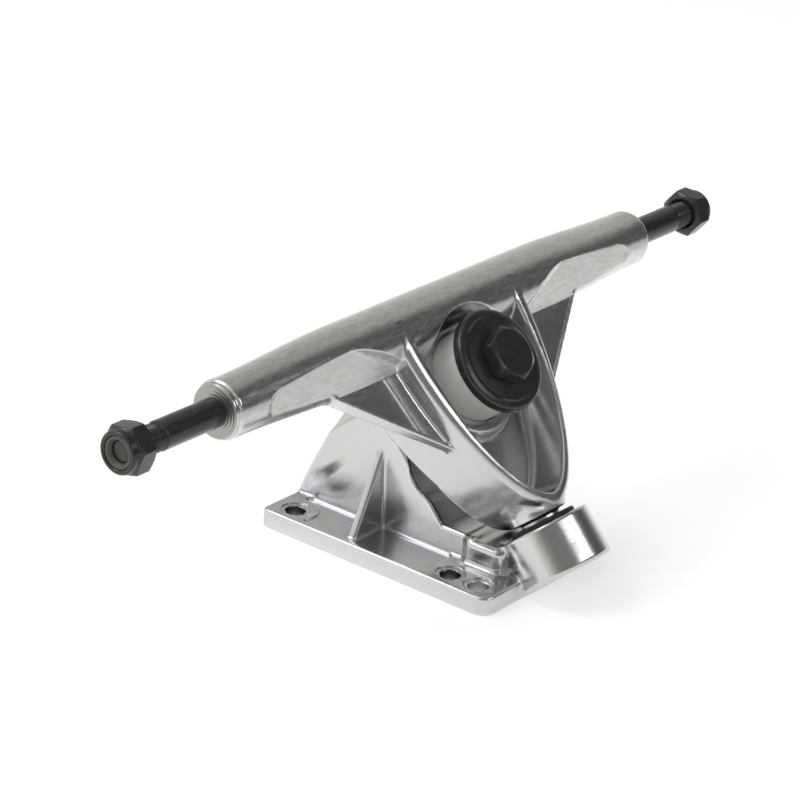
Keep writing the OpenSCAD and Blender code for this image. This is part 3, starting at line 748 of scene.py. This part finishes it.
def hanger_distance(u, v, k):
    """Distance to the hanger: beam with its scoops, shield, wings and nose, less the bushing seats."""
    a = np.abs(u)
    out = np.hypot(v, k)
    off = np.hypot(u, v + kingpin_offset)
    around = np.hypot(u, k)

    taper = np.clip((swell_from - a) / swell_run, 0, 1)
    beam = out - (beam_end_radius + beam_swell * taper * taper * (3 - 2 * taper))
    lift = -math.sin(scoop_facing) * v + math.cos(scoop_facing) * k
    run = math.cos(scoop_facing) * v + math.sin(scoop_facing) * k
    end_bow = scoop_end_bow * np.maximum(run, 0) ** scoop_end_power
    scoop = trim(scoop_lift - lift, a - scoop_end + end_bow, 3.5)
    scoop = trim(scoop, (scoop_start + scoop_slant * run - a) / scoop_slant_length, 4.0)
    scoop = np.maximum(scoop, scoop_inner_limit - a)
    beam = trim(beam, -scoop, 0.3)
    beam = trim(beam, a - beam_shoulder, 0.35)
    face = trim(out - wheel_face_radius, a - beam_half, 0.4)
    beam = join(beam, face, 0.2)

    share = a / shield_half
    along = np.maximum(-(v + shield_start) / shield_length, 0)
    plan = share ** shield_power + along ** shield_run - 1
    steep = np.hypot(shield_power * np.maximum(share, 1e-3) ** (shield_power - 1) / shield_half,
                     shield_run * along ** (shield_run - 1) / shield_length)
    plan = plan / np.maximum(steep, 0.02)
    below = np.clip(rim_top - k, 0, draft_depth)
    draft = draft_least + draft_growth * np.clip((v - draft_from) / draft_run, 0, 1)
    hull = trim(trim(plan - draft * below, k - rim_top, 2.4), shield_bottom - k, 1.8)
    hull = np.maximum(hull, v - shield_back)
    neck = trim(around - neck_radius, neck_end - v, 0.5)
    hull = join(hull, np.maximum(neck, v - neck_start), 1.6)
    to_beam = np.clip((v - beam_end_of_wall[0]) / beam_end_of_wall[1], 0, 1)
    to_nose = np.clip((nose_end_of_wall[0] - v) / nose_end_of_wall[1], 0, 1)
    wall = wall_least + wall_more_at_beam * to_beam + wall_more_at_nose * to_nose
    inner_draft = trough_draft * np.clip(below, 0, trough_draft_depth)
    trough = trim(plan + wall + inner_draft, trough_floor - k, 2.5)
    hull = trim(hull, -trough, 1.2)
    seat_ring = np.maximum(trim(off - ring_radius, k - ring_top, 2.2), shield_bottom - k)
    hull = join(hull, seat_ring, 2.0)

    edge_run = np.array(wing_tip) - np.array(wing_corner)
    edge_run /= np.linalg.norm(edge_run)
    beyond = (a - wing_corner[0]) * -edge_run[1] + (v - wing_corner[1]) * edge_run[0]
    wing = np.maximum(np.maximum(beyond, v), -wing_root - plan)
    to_tip = np.clip((wing_corner[1] - v) / (wing_corner[1] - wing_tip[1]), 0, 1)
    underside = wing_bottom + wing_bottom_rise * to_tip
    wing = trim(wing, np.maximum(k - wing_top, underside - k), 0.5)
    inner = step_place[0] + (v - step_place[1]) * step_slope - a
    floor = panel_floor + panel_step * (1 + np.tanh(inner / step_width))
    panel = trim(trim(beyond + panel_lip, wing_tip[1] + panel_tip_lip - v, 0.5), floor - k, 0.3)
    wing = trim(wing, -panel, 0.3)

    body = join(beam, wing, 0.8)
    body = join(body, hull, 0.7)
    body = trim(body, -trim(off - ring_cut_radius, ring_top - k, 3.2), 0.6)
    body = trim(body, -np.maximum(off - bushing_seat_radius, road_seat - k), 0.4)
    body = trim(body, hanger_bore - off, 0.3)
    body = trim(body, -np.maximum(off - bushing_seat_radius, k - board_seat), 0.4)
    nose = trim(around - nose_radius, nose_end - v, 1.5)
    return join(body, np.maximum(nose, v - nose_start), 0.6)


hanger = casting("hanger_casting", hanger_distance, (-92, -74, -14), (92, 11.5, 11.5),
                 grid_step, kept_share, lambda points: at_axle(*points.T))
hanger.data.materials.append(polished_aluminium)
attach(hanger, "hanger")
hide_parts("hanger")


# Axle
# Steel bar right through the beam, blackened, held in the casting.
# Each end has a plain seat for a wheel's bearings and a rolled thread.
def on_axle(x, y, z):
    """Places of points in the axle's own frame, with z towards +X."""
    return at_axle(z, y, -x)


axle_radius = 3.97
axle_hidden = 80.0
axle_seat_end = 111.6
axle_end = 123.2
thread_root = 3.35
thread_crest = 3.75
thread_pitch = 1.06


def thread(radius_low, radius_high, start, stop, pitch, angles, finer=10):
    """Outline of a thread from one height to the next, its ends fading into the bar.

    Its crest is flat over a quarter of the pitch, and its flanks slope down to a sharp root."""
    profile = []
    for height in np.arange(start, stop, pitch / finer):
        phase = (height / pitch - angles / (2 * math.pi)) % 1
        flank = np.clip(1.35 - 2.7 * np.abs(phase - 0.5), 0, 1)
        fade = min(1.0, (height - start) / pitch, (stop - height) / pitch)
        profile.append((radius_low + (radius_high - radius_low) * flank * fade, height))
    return profile


bar_turn = even_angles(64)
half_bar = [(axle_radius, axle_hidden), (axle_radius, axle_seat_end - 0.9),
            (axle_radius - 0.06, axle_seat_end - 0.7), (thread_root, axle_seat_end)]
half_bar += thread(thread_root, thread_crest, axle_seat_end, axle_end - 0.8, thread_pitch, bar_turn)
half_bar += [(thread_root, axle_end - 0.7), (thread_root - 0.1, axle_end - 0.4), (2.8, axle_end + 0.1),
             (2.75, axle_end + 0.4), (2.3, axle_end + 0.6), (0.6, axle_end + 0.3)]
rings = turned(half_bar, bar_turn)
mirrored = [ring * np.array([1, 1, -1]) for ring in rings[::-1]]
axle = sheath("axle_bar", mirrored + rings, on_axle, False)
axle.data.materials.append(black_steel)
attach(axle, "hanger")
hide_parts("axle")


# Axle nuts
# Blackened steel lock nuts: a chamfered hexagon with a collar rolled over a nylon ring.
# They screw onto the axle's threads and hold the wheels on.
def hexagon(flats, turn):
    """Angles round a hexagon, closer together at its softened corners, and its reach at each of them."""
    within = np.array([-29.6, -28.6, -24, -18, -12, -6, 0, 6, 12, 18, 24, 28.6, 29.6])
    angles = np.radians(np.concatenate([turn + 30 + 60 * flat + within for flat in range(6)]))
    reach = flats / 2 / np.cos(np.radians(np.tile(within, 6)))
    return angles, np.minimum(reach, flats / 2 / math.cos(math.radians(29.2)))


def lock_nut(name, node, body, flats, height, collar, collar_height, wall, bore, turn, place):
    """Lock nut standing on its face, with its collar outwards.

    Small steps in its outline soften each edge."""
    angles, reach = hexagon(flats, turn)
    slant = math.tan(math.radians(36))
    foot = flats / 2 * 0.9
    shoulder = np.minimum(collar / 2 + 0.1, flats / 2)
    rise = (reach - foot) * slant
    drop = (reach - shoulder) * slant
    lip = collar / 2
    middle = lip - wall / 2
    top = height + collar_height
    profile = [(bore, 0.8), (bore + 0.8, 0.04), (bore + 0.95, 0.0), (foot - 0.2, 0.0), (foot, 0.03),
               (reach - 0.12, rise - 0.05), (reach, rise + 0.1),
               (reach, height - drop - 0.1), (reach - 0.12, height - drop + 0.05),
               (shoulder + 0.15, height - 0.06), (shoulder, height + 0.02), (lip, height + 0.2)]
    for angle in np.radians(np.arange(0, 181, 18)):
        profile.append((middle + wall / 2 * math.cos(angle), top - wall * 0.55 * (1 - math.sin(angle))))
    profile += [(lip - wall, height + 0.1), (bore, height + 0.1)]
    made = sheath(name, turned(profile, angles), place, True)
    made.data.materials.append(black_steel)
    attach(made, body)
    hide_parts(node)


nut_face = 117.4
nut_flats = 12.2
nut_height = 6.0
collar_width = 11.4
collar_rise = 1.9
collar_wall = 1.4
nut_bore = 3.76
left_nut_turn = 30.0
right_nut_turn = 49.0


def left_end(x, y, z):
    """Places of points in the axle's own frame as seen from its left end, with z towards -X."""
    return at_axle(-z, y, x)


lock_nut("left_axle_nut", "axle_nut_left", "axle_nut_left", nut_flats, nut_height, collar_width,
         collar_rise, collar_wall, nut_bore, left_nut_turn, lambda x, y, z: left_end(x, y, z + nut_face))
lock_nut("right_axle_nut", "axle_nut_right", "axle_nut_right", nut_flats, nut_height, collar_width,
         collar_rise, collar_wall, nut_bore, right_nut_turn, lambda x, y, z: on_axle(x, y, z + nut_face))

# Nylon rings of the axle nuts
# Moulded nylon, held under the nut's rolled collar. Its tight hole grips the thread.
# Nylon: grey with a green cast, satin, a little uneven.
nylon, shader = mottled("grey_nylon", mottle=(1.0, 3.0), shades=("#4B4C42", "#5F6055"),
                        roughness=(0.4, 0.6), grain=(1.0, 3.0), bump=(0.5, 0.03))


def nylon_ring(name, node, body, outer, hole, bottom, top, place):
    """Ring between two heights, with a funnel at its mouth."""
    width = outer - hole
    profile = [(hole, bottom, 0.1), (outer, bottom, 0.1), (outer, top, 0.25),
               (hole + 0.45 * width, top, 0.15), (hole, top - 0.75 * width, 0.2)]
    made = sheath(name, turned(rounded(profile), full_turn), place, True)
    made.data.materials.append(nylon)
    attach(made, body)
    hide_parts(node)


insert_radius = 4.28
insert_hole = 2.9
insert_bottom = nut_face + nut_height + 0.12
insert_top = nut_face + nut_height + 1.5
nylon_ring("left_nylon_ring", "axle_nut_insert_left", "axle_nut_left",
           insert_radius, insert_hole, insert_bottom, insert_top, left_end)
nylon_ring("right_nylon_ring", "axle_nut_insert_right", "axle_nut_right",
           insert_radius, insert_hole, insert_bottom, insert_top, on_axle)

# Road side bushing
# The same white urethane barrel, poured in a mould.
# It is squeezed between the hanger's seat and the large cup washer.
bushing("road_side_bushing", "road_bushing", -3.7, 11.3, 11.3, -3.7)

# Road washer
# Pressed steel cup washer, blackened: a rolled outer shoulder, a shallow ring and a raised middle.
# It caps the road side bushing, under the bolt's head.
cup_washer_outline = rounded([(5.0, 11.3, 0.2), (12.7, 11.3, 0.2), (12.7, 10.5, 0.2), (14.5, 10.5, 0.4),
                              (14.5, 13.5, 1.2), (12.5, 13.8, 0.3), (11.6, 13.4, 0.6), (9.4, 13.7, 0.6),
                              (5.0, 14.2, 0.2)])
road_washer = sheath("road_side_cup_washer", turned(cup_washer_outline, full_turn), on_kingpin, True)
road_washer.data.materials.append(black_steel)
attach(road_washer, "baseplate")
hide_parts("road_washer")

# Kingpin bolt
# Forged steel hex bolt, blackened, with a rolled thread at its lower end.
# It goes through washers, bushings, hanger and tower, and its nut sits behind the tower.
bolt_radius = 4.75
bolt_thread_pitch = 1.27
bolt_thread_end = nut_seat + 4.0
bolt_end = -44.4
bolt_flats = 13.8
bolt_turn = 27.0
head_base = 14.2
head_top = 18.6
head_chamfer = bolt_flats / 2 * 0.95
angles, reach = hexagon(bolt_flats, bolt_turn)
drop = (reach - head_chamfer) * math.tan(math.radians(30))
bolt_outline = [(0.5, bolt_end), (bolt_radius - 0.8, bolt_end), (bolt_radius - 0.3, bolt_end + 0.6)]
bolt_outline += thread(bolt_radius - 0.55, bolt_radius - 0.02, bolt_end + 0.7, bolt_thread_end,
                       bolt_thread_pitch, even_angles(len(angles)))
bolt_outline += [(bolt_radius, bolt_thread_end + 0.6), (bolt_radius, head_base), (reach - 0.3, head_base),
                 (reach, head_base + 0.3), (reach, head_top - drop - 0.15),
                 (reach - 0.15, head_top - drop + 0.03), (head_chamfer, head_top - 0.04),
                 (bolt_flats / 2 * 0.92, head_top), (0.5, head_top)]
bolt = sheath("kingpin_hex_bolt", turned(bolt_outline, angles), on_kingpin, False)
bolt.data.materials.append(black_steel)
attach(bolt, "baseplate")
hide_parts("kingpin_bolt")


# Kingpin nut and its nylon ring
# A larger steel lock nut of the same make, blackened, with its own ring of moulded nylon.
# It sits in the hexagonal pocket behind the tower, which keeps it from turning.
def behind_tower(x, y, z):
    """Places of points in the kingpin's own frame, with z back from the nut's seat."""
    return on_kingpin(x, -y, nut_seat - z)


lock_nut("kingpin_lock_nut", "kingpin_nut", "baseplate", bolt_flats, height=6.4, collar=13.1,
         collar_height=2.2, wall=0.8, bore=4.8, turn=0.0, place=behind_tower)
nylon_ring("kingpin_nylon_ring", "kingpin_nut_insert", "baseplate", outer=5.72, hole=4.78,
           bottom=6.52, top=8.2, place=behind_tower)

# Floor, light and camera
# A plain white floor under soft studio light: bright behind and above, dark in front to the right,
# so that the polished metal has something to show. The camera stands where the photograph was taken.
floor_radius = 6.0
floor_sides = 64
floor_rim = [(floor_radius * math.cos(turn), floor_radius * math.sin(turn), 0.0)
             for turn in even_angles(floor_sides)]
floor_mesh = bpy.data.meshes.new("floor")
floor_mesh.from_pydata(floor_rim, [], [tuple(range(floor_sides))])
floor = bpy.data.objects.new("floor", floor_mesh)
bpy.context.scene.collection.objects.link(floor)

# White paper: matt, lifted to white where the camera sees it.
# In the metal it fades towards the front, where the room is dark.
floor_lift = 0.42
paper, tree, shader = new_material("white_paper")
shader.inputs["Base Color"].default_value = linear("#EDEDED")
shader.inputs["Roughness"].default_value = 1.0
shader.inputs["Specular IOR Level"].default_value = 0.0
path = add(tree, "ShaderNodeLightPath", {})
spot = add(tree, "ShaderNodeSeparateXYZ",
           {"Vector": add(tree, "ShaderNodeNewGeometry", {}).outputs["Position"]})
fading = add(tree, "ShaderNodeMapRange",
             {"Value": spot.outputs["Y"], "From Min": -0.16, "From Max": -0.03, "To Max": 0.95})
in_metal = add(tree, "ShaderNodeMath", {0: path.outputs["Is Glossy Ray"], 1: fading.outputs["Result"]},
               operation="MULTIPLY")
seen = add(tree, "ShaderNodeMath", {0: path.outputs["Is Camera Ray"], 1: in_metal.outputs["Value"]},
           operation="MAXIMUM")
seen_through = add(tree, "ShaderNodeMath", {0: seen.outputs["Value"], 1: path.outputs["Is Transmission Ray"]},
                   operation="MAXIMUM")
glow = add(tree, "ShaderNodeMath", {0: seen_through.outputs["Value"], 1: floor_lift}, operation="MULTIPLY")
tree.links.new(glow.outputs["Value"], shader.inputs["Emission Strength"])
shader.inputs["Emission Color"].default_value = linear("#FFFFFF")
floor.data.materials.append(paper)

# The room: light walls behind, which change with height and from left to right, and a dark front.
world = bpy.data.worlds.new("studio")
bpy.context.scene.world = world
world.use_nodes = True
tree = world.node_tree
background = tree.nodes["Background"]
sky = add(tree, "ShaderNodeTexCoord", {}).outputs["Generated"]
way = add(tree, "ShaderNodeSeparateXYZ", {"Vector": sky})
right_wall = add(tree, "ShaderNodeMapRange",
                 {"Value": way.outputs["Z"], "From Max": 0.75, "To Min": 0.72, "To Max": 0.38})
left_wall = add(tree, "ShaderNodeMapRange",
                {"Value": way.outputs["Z"], "From Max": 0.5, "To Min": 0.9, "To Max": 0.78})
rightward = add(tree, "ShaderNodeMapRange", {"Value": way.outputs["X"], "From Min": -0.4, "From Max": 0.4})
back_wall = add(tree, "ShaderNodeMix",
                {"Factor": rightward.outputs["Result"], "A": left_wall.outputs["Result"],
                 "B": right_wall.outputs["Result"]}, data_type="FLOAT")
behind = add(tree, "ShaderNodeMapRange", {"Value": way.outputs["Y"], "From Min": -0.36, "From Max": 0.08},
             interpolation_type="SMOOTHSTEP")
dark_front = add(tree, "ShaderNodeMapRange",
                 {"Value": way.outputs["X"], "From Min": -0.3, "From Max": 0.4,
                  "To Min": 0.23, "To Max": 0.1})
room = add(tree, "ShaderNodeMix",
           {"Factor": behind.outputs["Result"], "A": dark_front.outputs["Result"],
            "B": back_wall.outputs["Result"]}, data_type="FLOAT")
tree.links.new(room.outputs["Result"], background.inputs["Strength"])
background.inputs["Color"].default_value = linear("#FFFEFA")


def area_light(name, place, aim, size, power):
    """Soft rectangular lamp that faces a point."""
    lamp = bpy.data.lights.new(name, "AREA")
    lamp.shape = "RECTANGLE"
    lamp.size = size[0]
    lamp.size_y = size[1]
    lamp.energy = power
    made = bpy.data.objects.new(name, lamp)
    bpy.context.scene.collection.objects.link(made)
    made.location = place
    way = np.array(aim) - np.array(place)
    made.rotation_euler = Vector(way).to_track_quat("-Z", "Y").to_euler()
    return made


# The left fill lights the bushings and the floor, and doesn't show in the metal.
middle = (0.0, 0.0, 0.04)
area_light("key_light", (-0.75, 1.0, 1.5), middle, (1.0, 1.0), 10.0)
area_light("front_softbox", (0.24, -1.22, 0.88), middle, (1.1, 0.5), 4.2)
left_fill = area_light("left_fill", (-1.0, -0.6, 0.8), middle, (0.6, 0.6), 3.0)
left_fill.visible_glossy = False

camera_aim = np.array([0.0, 0.01395, 0.03776])
camera_distance = 0.85095
camera_azimuth = math.radians(-53.16)
camera_elevation = math.radians(23.72)
camera_roll = math.radians(4.01)
camera_lens = 140.0
level = math.cos(camera_elevation)
back = np.array([math.sin(camera_azimuth) * level, -math.cos(camera_azimuth) * level,
                 math.sin(camera_elevation)])
right = np.array([math.cos(camera_azimuth), math.sin(camera_azimuth), 0.0])
up = np.cross(back, right)
rolled_right = right * math.cos(camera_roll) + up * math.sin(camera_roll)
rolled_up = up * math.cos(camera_roll) - right * math.sin(camera_roll)
camera_data = bpy.data.cameras.new("camera")
camera_data.lens = camera_lens
camera_data.sensor_width = 36.0
camera_data.clip_start = 0.01
camera = bpy.data.objects.new("camera", camera_data)
bpy.context.scene.collection.objects.link(camera)
stand = Matrix(np.stack([rolled_right, rolled_up, back], axis=1).tolist()).to_4x4()
stand.translation = Vector(camera_aim + back * camera_distance)
camera.matrix_world = stand
bpy.context.scene.camera = camera
bpy.context.scene.view_settings.view_transform = "Standard"

bpy.context.view_layer.update()
